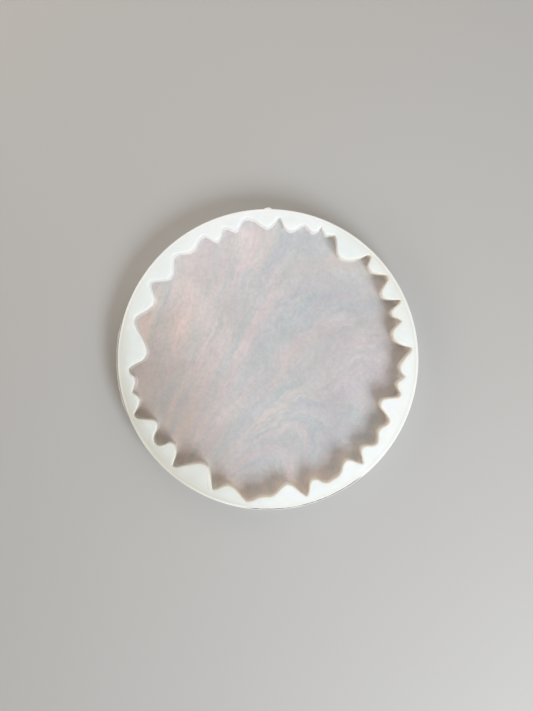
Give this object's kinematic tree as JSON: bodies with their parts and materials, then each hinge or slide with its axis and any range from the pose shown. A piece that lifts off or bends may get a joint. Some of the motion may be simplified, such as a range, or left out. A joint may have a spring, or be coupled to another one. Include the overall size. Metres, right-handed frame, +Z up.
{
  "type": "casting mould",
  "caption": "Shallow round silicone mould with a lobed, notched cavity wall, open at the top, for casting resin coasters shaped like a geode slice.",
  "frame": {"origin": "centre of the round outside, on the flat underside", "axes": "+Z up out of the open cavity; +X and +Y in the plane of the underside, with the small flash tag on the rim's edge towards +Y"},
  "size_m": [0.1255, 0.1258, 0.01],
  "materials": {
    "silicone": "milky translucent cast silicone, satin, thick section",
    "silicone_thin": "the same silicone as a thin membrane: cloudy, greyer because the surface under it shows through"
  },
  "bodies": {
    "root": {"rim_wall": "silicone", "cavity_floor": "silicone_thin"}
  },
  "joints": []
}
